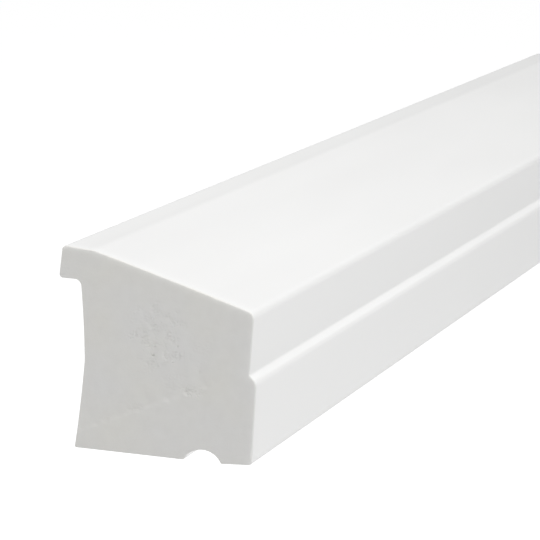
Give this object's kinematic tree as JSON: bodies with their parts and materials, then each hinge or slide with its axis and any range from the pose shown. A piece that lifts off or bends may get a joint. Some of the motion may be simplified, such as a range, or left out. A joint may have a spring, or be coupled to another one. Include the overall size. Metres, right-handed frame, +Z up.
{
  "type": "sill nose moulding",
  "caption": "Length of white sill nose moulding with a sloping top, a hooked back lip, a stepped chamfered front and a drip groove below, cut square at both ends.",
  "frame": {"origin": "middle of the length and of the depth, on the underside that the moulding rests on", "axes": "+X along the length, from the cut end that faces the viewer in the picture to the other one; -Y out of the front face; +Y out of the back, where the lip is; +Z up"},
  "size_m": [0.6, 0.0507, 0.0492],
  "materials": {
    "white_pvc": "satin"
  },
  "bodies": {
    "root": {"sill_nose_moulding": "white_pvc"}
  },
  "joints": []
}
